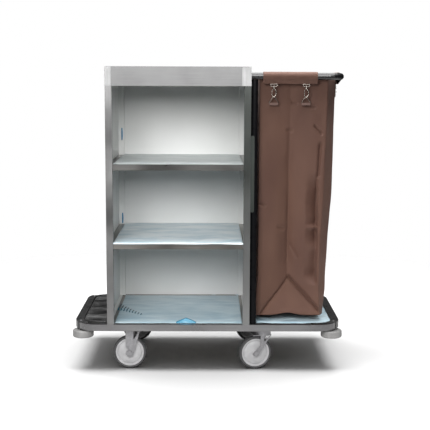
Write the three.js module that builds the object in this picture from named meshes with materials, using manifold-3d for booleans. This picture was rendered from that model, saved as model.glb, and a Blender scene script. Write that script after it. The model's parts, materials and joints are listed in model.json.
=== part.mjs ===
// Housekeeping cart: an open steel cabinet with three bays and a laundry bag hung beside it, on a tube
// base with two fixed and two swivelling castors and a bumper roller under each corner.
// Millimetres. +X to the cart's right, +Y to its rear, +Z up. The origin is on the floor, under the middle.

import * as THREE from 'three';
import { mergeVertices } from 'three/addons/utils/BufferGeometryUtils.js';
import Module from 'manifold-3d';

const wasm = await Module();
wasm.setup();

// ---------- driving dimensions ----------

const GAP = 0.3; // clearance between pieces that touch
const SHEET = 1.2; // thickness of the folded steel sheet
const TUBE_WALL = 1.5;

const CART_LENGTH = 1003;
const CART_DEPTH = 540;
const SQUARE_TUBE = 25; // side of the square tube in the base and the posts
const CORNER_RADIUS = 85; // outer radius of the base loop's corners

const FRAME_TOP = 184;
const FRAME_BOTTOM = FRAME_TOP - SQUARE_TUBE;
const DECK_RECESS = 1.5;
const DECK_TOP = FRAME_TOP - DECK_RECESS;

const CABINET_LEFT = -377;
const CABINET_WIDTH = 535;
const CABINET_RIGHT = CABINET_LEFT + CABINET_WIDTH;
const CABINET_TOP = 1146;
const APRON_HEIGHT = 71;
const APRON_BOTTOM = CABINET_TOP - APRON_HEIGHT;
const PANEL_FOLD = 13; // width of the folds round the edges of the side panels
const SHELF_TOPS = { shelf_upper: 788, shelf_lower: 494 };
const SHELF_LIP = 22;
const TRAY_FLOOR = APRON_BOTTOM + 15;

const FRONT = -CART_DEPTH / 2;
const REAR = CART_DEPTH / 2;

const BAR_DIAMETER = 25; // round tube of the bag frame
const BAR_HEIGHT = 1112; // centre of the bail
const BAR_INSET = 20; // from the cart's front or rear to the centre of the bail
const BAIL_RIGHT = 491; // centre of the bail's side bar
const BAIL_BEND = 42; // bend radius at the tube's centre
const LEG_X = CABINET_RIGHT + BAR_DIAMETER / 2 + 1;

const BAG_TOP = 1104;
const BAG_BOTTOM = 207;
const BAG_WALL = 3;

const SLEEVE_LENGTH = 200;
const SLEEVE_CENTRE_X = 301.5;
const SLEEVE_BOTTOM = 1085;
const HOOK_SPACING = 119;
const HOOK_THICKNESS = 4;

const WHEEL_DIAMETER = 127;
const WHEEL_SIDES = 40;
const TYRE_WIDTH = 30;
const HUB_RADIUS = 54;
const AXLE_RADIUS = 6;
const RUNNING_GAP = 0.2; // radial clearance of anything that turns on a pin
const CASTOR_Y = 205;
const RIGID_CASTOR_X = -297;
const SWIVEL_CASTOR_X = 214;
const CASTOR_TRAIL = 32;
const CASTOR_YAW = THREE.MathUtils.degToRad(12); // how far the swivels stand turned at rest
const PLATE_THICKNESS = 3;
const PLATE_TOP = FRAME_BOTTOM - GAP;
const PLATE_BOTTOM = PLATE_TOP - PLATE_THICKNESS;

const ROLLER_RADIUS = 40;
const ROLLER_HEIGHT = 27;
const ROLLER_INSET_X = 28; // from the end of the base loop to the roller's centre
const ROLLER_INSET_Y = 48;

// ---------- materials ----------

const finish = (color, roughness, metalness) => () =>
  new THREE.MeshStandardMaterial({ color, roughness, metalness });

const brushedSteel = finish(0x8c8f8f, 0.34, 1.0);
const frameSteel = finish(0x7c7b7c, 0.4, 1.0);
const blackPaint = finish(0x111212, 0.3, 0.1);
const blackRubber = finish(0x1a1a1a, 0.7, 0.0);
const zinc = finish(0x95949a, 0.45, 0.7);
const hubPlastic = finish(0xa8a7aa, 0.5, 0.0);
const tyreRubber = finish(0x6d6c70, 0.7, 0.0);
const rollerRubber = finish(0xa3a19f, 0.65, 0.0);
const brownFabric = finish(0x79594f, 0.85, 0.0);
const hookMetal = finish(0x9a8f86, 0.3, 1.0);

// ---------- solids ----------

// A closed three.js geometry as a solid that can be joined and cut.
function toSolid(geometry) {
  const bare = geometry.clone();
  bare.deleteAttribute('normal');
  bare.deleteAttribute('uv');
  const merged = mergeVertices(bare, 1e-4);
  const mesh = new wasm.Mesh({
    numProp: 3,
    vertProperties: new Float32Array(merged.attributes.position.array),
    triVerts: new Uint32Array(merged.index.array),
  });
  return new wasm.Manifold(mesh);
}

function toGeometry(solid) {
  const mesh = solid.getMesh();
  const geometry = new THREE.BufferGeometry();
  geometry.setAttribute('position', new THREE.BufferAttribute(mesh.vertProperties, 3));
  geometry.setIndex(new THREE.BufferAttribute(mesh.triVerts, 1));
  geometry.computeVertexNormals();
  return geometry;
}

const join = (solids) => solids.reduce((sum, solid) => sum.add(solid));

const cut = (solid, tools) => tools.reduce((rest, tool) => rest.subtract(tool), solid);

// A box between two limits on each axis.
function block([x0, x1], [y0, y1], [z0, z1]) {
  const geometry = new THREE.BoxGeometry(x1 - x0, y1 - y0, z1 - z0);
  geometry.translate((x0 + x1) / 2, (y0 + y1) / 2, (z0 + z1) / 2);
  return toSolid(geometry);
}

// An outline in the XY plane, raised from z0 to z1.
function prism(shape, z0, z1, curveSegments = 4) {
  const geometry = new THREE.ExtrudeGeometry(shape, { depth: z1 - z0, bevelEnabled: false, curveSegments });
  geometry.translate(0, 0, z0);
  return toSolid(geometry);
}

// An outline drawn in X and Z, given thickness between y0 and y1.
function upright(shape, y0, y1, curveSegments = 5) {
  const geometry = new THREE.ExtrudeGeometry(shape, { depth: y1 - y0, bevelEnabled: false, curveSegments });
  geometry.rotateX(Math.PI / 2);
  geometry.translate(0, y1, 0);
  return toSolid(geometry);
}

// A closed profile of [radius, height] points turned about an axis; sides is the number of facets.
function turned(profile, sides, { axis = 'z', at = [0, 0, 0] } = {}) {
  const points = [...profile, profile[0]].map(([radius, height]) => new THREE.Vector2(radius, height));
  const geometry = new THREE.LatheGeometry(points, sides, Math.PI / sides);
  if (axis === 'z') geometry.rotateX(Math.PI / 2);
  geometry.translate(...at);
  return toSolid(geometry);
}

// A round rod along z or y, between two positions on that axis.
function rod(radius, from, to, { axis = 'z', at = [0, 0, 0], sides = 16 } = {}) {
  const geometry = new THREE.CylinderGeometry(radius, radius, to - from, sides);
  geometry.translate(0, (from + to) / 2, 0);
  if (axis === 'z') geometry.rotateX(Math.PI / 2);
  geometry.translate(...at);
  return toSolid(geometry);
}

function roundedRectangle(halfX, halfY, radius) {
  const shape = new THREE.Shape();
  shape.moveTo(-halfX + radius, -halfY);
  shape.absarc(halfX - radius, -halfY + radius, radius, -Math.PI / 2, 0);
  shape.absarc(halfX - radius, halfY - radius, radius, 0, Math.PI / 2);
  shape.absarc(-halfX + radius, halfY - radius, radius, Math.PI / 2, Math.PI);
  shape.absarc(-halfX + radius, -halfY + radius, radius, Math.PI, 1.5 * Math.PI);
  return shape;
}

// The base loop's outer outline moved outwards (or inwards, if negative), as a solid.
function loopPrism(offset, z0, z1) {
  const halfX = CART_LENGTH / 2 + offset;
  const halfY = CART_DEPTH / 2 + offset;
  return prism(roundedRectangle(halfX, halfY, CORNER_RADIUS + offset), z0, z1);
}

// A path through set points, so that a swept tube has a step only where it bends.
class SteppedPath extends THREE.Curve {
  constructor(points) {
    super();
    this.points = points;
  }

  getPointAt(u) {
    return this.points[Math.round(u * (this.points.length - 1))].clone();
  }

  getTangentAt(u) {
    const here = Math.round(u * (this.points.length - 1));
    const before = this.points[Math.max(here - 1, 0)];
    const after = this.points[Math.min(here + 1, this.points.length - 1)];
    return after.clone().sub(before).normalize();
  }
}

function sweptTube(points, radius, wall) {
  const ring = new THREE.Shape();
  ring.absarc(0, 0, radius, 0, 2 * Math.PI);
  const bore = new THREE.Path();
  bore.absarc(0, 0, radius - wall, 0, 2 * Math.PI);
  ring.holes.push(bore);
  const steps = points.length - 1;
  const options = { steps, extrudePath: new SteppedPath(points), curveSegments: 8 };
  return toSolid(new THREE.ExtrudeGeometry(ring, options));
}

// A shallow pan folded from sheet: a box with one face left open.
function pan(x, y, z, openAxis, openSide, wall = SHEET) {
  const inner = [x, y, z].map(([low, high]) => [low + wall, high - wall]);
  const open = 'xyz'.indexOf(openAxis);
  inner[open][openSide < 0 ? 0 : 1] += openSide * 2 * wall;
  return block(x, y, z).subtract(block(...inner));
}

// ---------- assembly ----------

const cart = new THREE.Group();

function addPiece(name, solid, makeMaterial, parent = cart) {
  const mesh = new THREE.Mesh(toGeometry(solid), makeMaterial());
  mesh.name = name;
  parent.add(mesh);
}

const ENDS = { front: -1, rear: 1 };
const SIDES = { left: -1, right: 1 };

// ---------- base ----------

function addBaseFrame() {
  const z = [FRAME_BOTTOM, FRAME_TOP];
  const hollow = loopPrism(-TUBE_WALL, z[0] + TUBE_WALL, z[1] - TUBE_WALL).subtract(
    loopPrism(-SQUARE_TUBE + TUBE_WALL, ...z),
  );
  const drains = [-1, 1].flatMap((side) =>
    [-1, 1].map((end) => {
      const at = [side * (CART_LENGTH / 2 - 120), end * (CART_DEPTH / 2 - SQUARE_TUBE / 2), 0];
      return rod(4, z[0] - 1, z[0] + TUBE_WALL + 1, { at });
    }),
  );
  const loop = loopPrism(0, ...z).subtract(loopPrism(-SQUARE_TUBE, z[0] - 1, z[1] + 1));
  addPiece('base_frame', cut(loop, [hollow, ...drains]), frameSteel);
}

function addCastorChannel(side, x) {
  const innerY = CART_DEPTH / 2 - SQUARE_TUBE - GAP;
  const halfWidth = 55;
  const web = 2.5;
  const topOfFlange = DECK_TOP - SHEET - GAP;
  const channelEnd = innerY - 4;
  const outer = block([x - halfWidth, x + halfWidth], [-channelEnd, channelEnd], [FRAME_BOTTOM, topOfFlange]);
  const trough = block(
    [x - halfWidth + web, x + halfWidth - web],
    [-channelEnd - 1, channelEnd + 1],
    [FRAME_BOTTOM + web, topOfFlange + 1],
  );
  const tabs = [-1, 1].map((end) => {
    const y = [end * (channelEnd - 3), end * innerY].sort((a, b) => a - b);
    return block([x - halfWidth + 15, x + halfWidth - 15], y, [FRAME_BOTTOM, FRAME_BOTTOM + 10]);
  });
  addPiece(`castor_channel_${side}`, join([outer.subtract(trough), ...tabs]), frameSteel);
}

// One panel for each span of the loop: under the left platform, in the cabinet and under the bag.
function addDeck() {
  const edge = -SQUARE_TUBE - 1.5;
  const lip = 8;
  const bottom = DECK_TOP - lip;
  const leftSeam = CABINET_LEFT + 1 + PANEL_FOLD;
  const rightSeam = CABINET_RIGHT - 1 - PANEL_FOLD;
  const spans = {
    left_platform_panel: [-CART_LENGTH, leftSeam - GAP],
    deck_panel: [leftSeam + GAP, rightSeam - GAP],
    right_platform_panel: [rightSeam + GAP, CART_LENGTH],
  };
  for (const [name, [from, to]] of Object.entries(spans)) {
    const span = block([from, to], [FRONT, REAR], [bottom, DECK_TOP]);
    const sheet = loopPrism(edge, bottom, DECK_TOP).intersect(span);
    const inside = block([from + SHEET, to - SHEET], [FRONT, REAR], [bottom - 1, DECK_TOP - SHEET]);
    const under = loopPrism(edge - SHEET, bottom - 1, DECK_TOP - SHEET).intersect(inside);
    addPiece(name, sheet.subtract(under), brushedSteel);
  }

  const matBottom = DECK_TOP + GAP;
  const mat = loopPrism(edge - 2, matBottom, matBottom + 3);
  const leftEnd = block([-CART_LENGTH, CABINET_LEFT - 2], [FRONT, REAR], [matBottom - 1, matBottom + 4]);
  addPiece('left_platform_mat', mat.intersect(leftEnd), blackRubber);
}

// A rubber angle over the top and outer face of the loop, round one end from corner to corner.
function addBumperStrip(side, direction) {
  const thickness = 3.2;
  const bottom = FRAME_BOTTOM + 2;
  const top = FRAME_TOP + GAP + thickness;
  const angle = loopPrism(thickness, bottom, top)
    .subtract(loopPrism(GAP, bottom - 1, FRAME_TOP + GAP))
    .subtract(loopPrism(-SQUARE_TUBE, bottom - 1, top + 1));
  const x = [direction * (CART_LENGTH / 2 - CORNER_RADIUS), direction * CART_LENGTH].sort((a, b) => a - b);
  const halfSpan = CART_DEPTH / 2 - 38;
  const end = block(x, [-halfSpan, halfSpan], [bottom - 1, top + 1]);
  addPiece(`bumper_strip_${side}`, angle.intersect(end), blackRubber);
}

// ---------- cabinet ----------

const leftPost = [CABINET_LEFT, CABINET_LEFT + SQUARE_TUBE];
const rightPost = [CABINET_RIGHT - SQUARE_TUBE, CABINET_RIGHT];
const frontPost = [FRONT, FRONT + SQUARE_TUBE];
const rearPost = [REAR - SQUARE_TUBE, REAR];

function addPosts() {
  const z = [FRAME_TOP + GAP, APRON_BOTTOM - GAP];
  for (const [side, x] of Object.entries({ left: leftPost, right: rightPost })) {
    for (const [end, y] of Object.entries({ front: frontPost, rear: rearPost })) {
      const bore = block(
        [x[0] + TUBE_WALL, x[1] - TUBE_WALL],
        [y[0] + TUBE_WALL, y[1] - TUBE_WALL],
        [z[0] - 1, z[1] + 1],
      );
      addPiece(`post_${end}_${side}`, block(x, y, z).subtract(bore), frameSteel);
    }
  }
}

function addCabinetPanels() {
  const z = [FRAME_TOP + GAP, APRON_BOTTOM - GAP];
  const between = [frontPost[1] + GAP, rearPost[0] - GAP];
  const inLeft = CABINET_LEFT + 1;
  const inRight = CABINET_RIGHT - 1;
  addPiece('side_panel_left', pan([inLeft, inLeft + PANEL_FOLD], between, z, 'x', 1), brushedSteel);
  addPiece('side_panel_right', pan([inRight - PANEL_FOLD, inRight], between, z, 'x', -1), brushedSteel);

  const x = [leftPost[1] + GAP, rightPost[0] - GAP];
  const backFace = REAR - 6;
  addPiece('back_panel', pan(x, [backFace, REAR - GAP], z, 'y', 1), brushedSteel);
}

function addShelf(name, top) {
  const x = [CABINET_LEFT + 1 + SHEET + GAP, CABINET_RIGHT - 1 - SHEET - GAP];
  const y = [FRONT + 2, REAR - 6 - GAP];
  const z = [top - SHELF_LIP, top];
  const notchX = SQUARE_TUBE + 1;
  const notchY = SQUARE_TUBE + SHEET + 1;
  const notches = [
    [CABINET_LEFT, CABINET_LEFT + notchX],
    [CABINET_RIGHT - notchX, CABINET_RIGHT],
  ].flatMap((across) =>
    [
      [FRONT, FRONT + notchY],
      [REAR - notchY, REAR],
    ].map((along) => block(across, along, [z[0] - 1, z[1] + 1])),
  );
  const hem = block([leftPost[1] + 1, rightPost[0] - 1], [y[0], y[0] + 10], [z[0], z[0] + SHEET]);
  addPiece(name, cut(pan(x, y, z, 'z', -1), notches).add(hem), brushedSteel);
}

// The tray on top of the posts: a floor inside a deep apron with a rolled rim and covered corners.
function addTopTray() {
  const x = [CABINET_LEFT, CABINET_RIGHT];
  const y = [FRONT, REAR];
  const rim = 12;
  const cover = 0.7;
  const inset = ([low, high], by) => [low + by, high - by];
  const body = block(x, y, [APRON_BOTTOM, CABINET_TOP]);
  const tray = block(inset(x, SHEET), inset(y, SHEET), [TRAY_FLOOR, CABINET_TOP - SHEET]);
  const mouth = block(inset(x, rim), inset(y, rim), [CABINET_TOP - 2 * SHEET, CABINET_TOP + 1]);
  const under = block(inset(x, SHEET), inset(y, SHEET), [APRON_BOTTOM - 1, TRAY_FLOOR - SHEET]);
  const corners = x.flatMap((cornerX, i) =>
    y.flatMap((cornerY, j) => {
      const inX = i ? -1 : 1;
      const inY = j ? -1 : 1;
      const spanX = [cornerX - inX * cover, cornerX + inX * SQUARE_TUBE].sort((a, b) => a - b);
      const spanY = [cornerY - inY * cover, cornerY + inY * SQUARE_TUBE].sort((a, b) => a - b);
      const wall = block(spanX, spanY, [APRON_BOTTOM, CABINET_TOP]);
      const inner = block(inset(x, SHEET), inset(y, SHEET), [APRON_BOTTOM + 2, CABINET_TOP + 1]);
      return [wall.subtract(inner)];
    }),
  );
  addPiece('top_tray', join([cut(body, [tray, mouth, under]), ...corners]), brushedSteel);
}

// ---------- bag frame ----------

function bend(centreX, centreY, fromAngle, steps = 6) {
  return Array.from({ length: steps + 1 }, (_, i) => {
    const angle = fromAngle + (i / steps) * (Math.PI / 2);
    const x = centreX + BAIL_BEND * Math.cos(angle);
    const y = centreY + BAIL_BEND * Math.sin(angle);
    return new THREE.Vector3(x, y, BAR_HEIGHT);
  });
}

function addBagFrame() {
  const barY = CART_DEPTH / 2 - BAR_INSET;
  const startX = CABINET_RIGHT + 1.2;
  const bendX = BAIL_RIGHT - BAIL_BEND;
  const path = [
    new THREE.Vector3(startX, -barY, BAR_HEIGHT),
    ...bend(bendX, -barY + BAIL_BEND, -Math.PI / 2),
    ...bend(bendX, barY - BAIL_BEND, 0),
    new THREE.Vector3(startX, barY, BAR_HEIGHT),
  ];
  addPiece('bail_tube', sweptTube(path, BAR_DIAMETER / 2, TUBE_WALL), blackPaint);

  const legTop = BAR_HEIGHT - BAR_DIAMETER / 2 - GAP;
  for (const [end, sign] of Object.entries(ENDS)) {
    const at = [LEG_X, sign * barY, 0];
    const bore = rod(BAR_DIAMETER / 2 - TUBE_WALL, FRAME_TOP, legTop + 1, { at });
    const leg = rod(BAR_DIAMETER / 2, FRAME_TOP + GAP, legTop, { at, sides: 24 });
    addPiece(`bag_frame_leg_${end}`, leg.subtract(bore), blackPaint);
  }
}

// A narrow plate with round ends, folded round the post and across the front of the leg.
function addTiePlate() {
  const [bottom, top] = [610, 895];
  const face = [FRONT + 3.5, FRONT + 6];
  const left = CABINET_RIGHT + GAP;
  const halfWidth = 6.75;
  const centre = left + halfWidth;
  const shape = new THREE.Shape();
  shape.moveTo(centre + halfWidth, bottom + halfWidth);
  shape.absarc(centre, top - halfWidth, halfWidth, 0, Math.PI);
  shape.absarc(centre, bottom + halfWidth, halfWidth, Math.PI, 2 * Math.PI);
  const flange = block([left, left + 0.6], [face[0], face[1] + 1], [bottom + 20, top - 20]);
  addPiece('leg_tie_plate', upright(shape, ...face).add(flange), zinc);
}

// ---------- bag, sleeves and hooks ----------

// The bag at three heights: its left edge, the right end of its front face, its right side, half its
// depth, and half the depth of its right side. The corners are cut off between the hooks.
const BAG_BEND_HEIGHT = 350;
const BAG_SECTIONS = {
  top: { height: BAG_TOP, left: 190, faceEnd: 441, side: 475, halfDepth: 234, halfSide: 172 },
  bend: { height: BAG_BEND_HEIGHT, left: 190, faceEnd: 420, side: 450, halfDepth: 218, halfSide: 178 },
  foot: { height: BAG_BOTTOM, left: 172, faceEnd: 427, side: 440, halfDepth: 214, halfSide: 184 },
};

// The part of the bag between two sections, drawn in by the wall.
function bagLength(lower, upper, drawnIn) {
  const outline = ({ left, faceEnd, side, halfDepth, halfSide }) => {
    const y = halfDepth - drawnIn;
    const right = side - drawnIn;
    const end = faceEnd - drawnIn / 2;
    return [
      [left + drawnIn, -y],
      [end, -y],
      [right, -halfSide],
      [right, halfSide],
      [end, y],
      [left + drawnIn, y],
    ];
  };
  const ends = [lower, upper].map((section) => outline(section).map(([x, y]) => [x, y, section.height]));
  return wasm.Manifold.hull(ends.flat());
}

function bagSolid(drawnIn, foot, top) {
  const lower = { ...BAG_SECTIONS.foot, height: foot };
  const upper = { ...BAG_SECTIONS.top, height: top };
  return join([
    bagLength(lower, BAG_SECTIONS.bend, drawnIn),
    bagLength(BAG_SECTIONS.bend, upper, drawnIn),
  ]);
}

function addBag() {
  const hollow = bagSolid(BAG_WALL, BAG_BOTTOM + BAG_WALL, BAG_TOP + 5);
  addPiece('laundry_bag', bagSolid(0, BAG_BOTTOM, BAG_TOP).subtract(hollow), brownFabric);
}

// A fabric sleeve round a bar that runs along X: round over the bar, flat below it.
function sleeveSolid(length) {
  const over = BAR_DIAMETER / 2 + 3;
  const drop = SLEEVE_BOTTOM - BAR_HEIGHT;
  const halfFoot = 4;
  const shape = new THREE.Shape();
  shape.moveTo(halfFoot, drop);
  shape.absarc(0, 0, over, -0.35, Math.PI + 0.35);
  shape.lineTo(-halfFoot, drop);
  const bore = new THREE.Path();
  bore.absarc(0, 0, BAR_DIAMETER / 2 + 0.6, 0, 2 * Math.PI);
  shape.holes.push(bore);
  const options = { depth: length, bevelEnabled: false, curveSegments: 8 };
  const geometry = new THREE.ExtrudeGeometry(shape, options);
  geometry.translate(0, 0, -length / 2);
  geometry.rotateX(Math.PI / 2);
  geometry.rotateZ(Math.PI / 2);
  return toSolid(geometry);
}

function stadium(halfWidth, bottom, top) {
  const shape = new THREE.Shape();
  shape.moveTo(halfWidth, bottom + halfWidth);
  shape.absarc(0, top - halfWidth, halfWidth, 0, Math.PI);
  shape.absarc(0, bottom + halfWidth, halfWidth, Math.PI, 2 * Math.PI);
  return shape;
}

// A snap hook hanging from z = 0: strap eye, swivel neck and closed bow.
function hookSolid() {
  const y = [-HOOK_THICKNESS / 2, HOOK_THICKNESS / 2];
  const eye = block([-13, 13], y, [-10, 0]).subtract(block([-10, 10], [-5, 5], [-7, -3]));
  const neck = rod(3.5, -21, -8, { sides: 10 });
  const bow = upright(stadium(9, -52, -18), ...y, 3).subtract(upright(stadium(5, -48, -24), -5, 5, 3));
  return join([eye, neck, bow]);
}

function addHooks(place, centre, turn) {
  const station = new THREE.Group();
  station.position.set(...centre);
  station.rotation.z = turn;
  for (const [number, sign] of Object.entries({ 1: -1, 2: 1 })) {
    const holder = new THREE.Group();
    holder.position.x = (sign * HOOK_SPACING) / 2;
    station.add(holder);
    addPiece(`snap_hook_${place}_${number}`, hookSolid(), hookMetal, holder);
  }
  cart.add(station);
}

function addSleeve(place, centre, turn, length) {
  const station = new THREE.Group();
  station.position.set(...centre);
  station.rotation.z = turn;
  addPiece(`sleeve_${place}`, sleeveSolid(length), brownFabric, station);
  cart.add(station);
}

function addHangers() {
  const barY = CART_DEPTH / 2 - BAR_INSET;
  const stations = {
    front: { x: SLEEVE_CENTRE_X, y: -barY, turn: 0, length: SLEEVE_LENGTH },
    rear: { x: SLEEVE_CENTRE_X, y: barY, turn: Math.PI, length: SLEEVE_LENGTH },
    side: { x: BAIL_RIGHT, y: 0, turn: Math.PI / 2, length: SLEEVE_LENGTH + 80 },
  };
  for (const [place, { x, y, turn, length }] of Object.entries(stations)) {
    addSleeve(place, [x, y, BAR_HEIGHT], turn, length);
    addHooks(place, [x, y, SLEEVE_BOTTOM - GAP], turn);
  }
}

// ---------- castors ----------

const AXLE_HEIGHT = WHEEL_DIAMETER / 2;
const FORK_INNER = TYRE_WIDTH / 2 + 4; // half the space between the fork's legs
const FORK_WALL = 3;

// Tyre and hub are turned about Y and stand on a flat facet.
function addWheel(place, parent) {
  const tread = WHEEL_DIAMETER / 2 / Math.cos(Math.PI / WHEEL_SIDES);
  const half = TYRE_WIDTH / 2;
  const seat = HUB_RADIUS + GAP;
  const tyre = [
    [seat, -half + 2],
    [tread - 4, -half],
    [tread, -half + 4],
    [tread, half - 4],
    [tread - 4, half],
    [seat, half - 2],
  ];
  const bore = AXLE_RADIUS + RUNNING_GAP;
  const face = [
    [bore, half + 3],
    [13, half + 3],
    [15, half - 4],
    [46, half - 4],
    [HUB_RADIUS, half - 2.5],
  ];
  const hub = [...face.map(([radius, height]) => [radius, -height]), ...face.reverse()];
  addPiece(`tyre_${place}`, turned(tyre, WHEEL_SIDES, { axis: 'y' }), tyreRubber, parent);
  addPiece(`wheel_hub_${place}`, turned(hub, WHEEL_SIDES, { axis: 'y' }), hubPlastic, parent);
}

// The bolt through the fork: a hexagonal head in front and a nut behind.
function addAxle(place, parent) {
  const outer = FORK_INNER + FORK_WALL + GAP;
  const shank = rod(AXLE_RADIUS, -outer - 2, outer + 2, { axis: 'y' });
  const head = rod(10, -outer - 6, -outer, { axis: 'y', sides: 6 });
  const nut = rod(10, outer, outer + 7, { axis: 'y', sides: 6 });
  addPiece(`axle_bolt_${place}`, join([shank, head, nut]), zinc, parent);
}

// One fork leg's outline in X and Z, round at the axle, which is at the outline's origin.
function legOutline(leftTop, rightTop, height, endRadius) {
  const shape = new THREE.Shape();
  shape.moveTo(leftTop, height);
  shape.absarc(0, 0, endRadius, Math.PI + 0.1, 2 * Math.PI - 0.1);
  shape.lineTo(rightTop, height);
  return shape;
}

function forkLegs(leftTop, rightTop, height, endRadius, halfRib, ribFoot) {
  return [-1, 1].map((side) => {
    const y = [side * FORK_INNER, side * (FORK_INNER + FORK_WALL)].sort((a, b) => a - b);
    const ribY = [side * (FORK_INNER + 1), side * (FORK_INNER + FORK_WALL + 1.5)].sort((a, b) => a - b);
    const ribX = (leftTop + rightTop) / 2;
    const rib = block([ribX - halfRib, ribX + halfRib], ribY, [ribFoot, height]);
    return upright(legOutline(leftTop, rightTop, height, endRadius), ...y).add(rib);
  });
}

function axleHole() {
  const reach = FORK_INNER + FORK_WALL + 5;
  return rod(AXLE_RADIUS + GAP, -reach, reach, { axis: 'y' });
}

// Fixed castor: plate and fork pressed in one. Built around its axle.
function addRigidCastor(place, y) {
  const castor = new THREE.Group();
  castor.position.set(RIGID_CASTOR_X, y, AXLE_HEIGHT);
  const top = PLATE_TOP - AXLE_HEIGHT;
  const plate = block([-47, 47], [-34, 34], [top - PLATE_THICKNESS, top]);
  const legs = forkLegs(-42, 42, top - 1, 16, 15, 21);
  addPiece(`castor_fork_${place}`, cut(join([plate, ...legs]), [axleHole()]), zinc, castor);
  addAxle(place, castor);
  addWheel(place, castor);
  cart.add(castor);
}

// Swivelling castor. The plate with its kingpin stays put; the fork, axle and wheel turn under it.
function addSwivelCastor(place, y) {
  const fixed = new THREE.Group();
  fixed.position.set(SWIVEL_CASTOR_X, y, 0);
  cart.add(fixed);

  const crownBottom = WHEEL_DIAMETER + 4.5;
  const crownTop = crownBottom + 3;
  const raceTop = PLATE_BOTTOM - 6;
  const pinRadius = 6;
  const plate = join([
    block([-47, 47], [-34, 34], [PLATE_BOTTOM, PLATE_TOP]),
    rod(27, raceTop + GAP, PLATE_BOTTOM + 1, { sides: 32 }),
    rod(pinRadius, crownBottom - 1, PLATE_BOTTOM + 1),
    rod(9, crownBottom - 2.5, crownBottom - GAP),
  ]);
  addPiece(`castor_plate_${place}`, plate, zinc, fixed);

  const swivel = new THREE.Group();
  swivel.rotation.z = CASTOR_YAW;
  fixed.add(swivel);
  const wheelGroup = new THREE.Group();
  wheelGroup.position.set(-CASTOR_TRAIL, 0, AXLE_HEIGHT);
  swivel.add(wheelGroup);

  const leftTop = -12;
  const rightTop = CASTOR_TRAIL + 27;
  const halfY = FORK_INNER + FORK_WALL;
  const local = (z) => z - AXLE_HEIGHT;
  const crown = block([leftTop, rightTop], [-halfY, halfY], [local(crownBottom), local(crownTop)]);
  const kingpinX = CASTOR_TRAIL;
  const race = rod(29, local(crownBottom), local(raceTop), { at: [kingpinX, 0, 0], sides: 32 });
  const pinHole = rod(pinRadius + RUNNING_GAP, local(crownBottom) - 1, local(raceTop) + 1, {
    at: [kingpinX, 0, 0],
  });
  const legs = forkLegs(leftTop, rightTop, local(crownTop), 13, 7, 21);
  const fork = cut(join([crown, race, ...legs]), [pinHole, axleHole()]);
  addPiece(`castor_fork_${place}`, fork, zinc, wheelGroup);
  addAxle(place, wheelGroup);
  addWheel(place, wheelGroup);
}

// ---------- bumper rollers ----------

function addBumperRoller(place, signX, signY) {
  const corner = new THREE.Group();
  corner.position.set(
    signX * (CART_LENGTH / 2 - ROLLER_INSET_X),
    signY * (CART_DEPTH / 2 - ROLLER_INSET_Y),
    0,
  );
  cart.add(corner);

  const top = PLATE_BOTTOM - 1;
  const bottom = top - ROLLER_HEIGHT;
  const boltRadius = 5;
  const bore = boltRadius + RUNNING_GAP;
  const profile = [
    [bore, bottom + 1],
    [ROLLER_RADIUS - 3, bottom],
    [ROLLER_RADIUS, bottom + 4],
    [ROLLER_RADIUS, top - 4],
    [ROLLER_RADIUS - 3, top],
    [bore, top - 1],
  ];
  addPiece(`bumper_roller_${place}`, turned(profile, 32), rollerRubber, corner);

  const reach = [-signX * 52, signX * 11].sort((a, b) => a - b);
  const depth = [-signY * 24, signY * 13].sort((a, b) => a - b);
  const bracket = join([
    block(reach, depth, [PLATE_BOTTOM, PLATE_TOP]),
    rod(boltRadius, bottom - 4, PLATE_BOTTOM + 1),
    rod(9, bottom - 6, bottom - GAP, { sides: 6 }),
  ]);
  addPiece(`roller_bracket_${place}`, bracket, blackPaint, corner);
}

// ---------- the cart ----------

addBaseFrame();
addCastorChannel('left', RIGID_CASTOR_X);
addCastorChannel('right', SWIVEL_CASTOR_X);
addDeck();
addPosts();
addCabinetPanels();
for (const [name, top] of Object.entries(SHELF_TOPS)) addShelf(name, top);
addTopTray();
addBagFrame();
addTiePlate();
addBag();
addHangers();
for (const [side, signX] of Object.entries(SIDES)) addBumperStrip(side, signX);
for (const [end, signY] of Object.entries(ENDS)) {
  addRigidCastor(`${end}_left`, signY * CASTOR_Y);
  addSwivelCastor(`${end}_right`, signY * CASTOR_Y);
  for (const [side, signX] of Object.entries(SIDES)) addBumperRoller(`${end}_${side}`, signX, signY);
}

export default cart;
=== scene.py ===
"""Looks for the housekeeping cart: steel, rubber and film materials, the laundry bag and its hangers,
finer castors and rollers, studio light and camera. Metres, in the same frame as the CAD."""

import json
import math

import bmesh
import bpy
from mathutils import Matrix, Vector, noise

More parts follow.
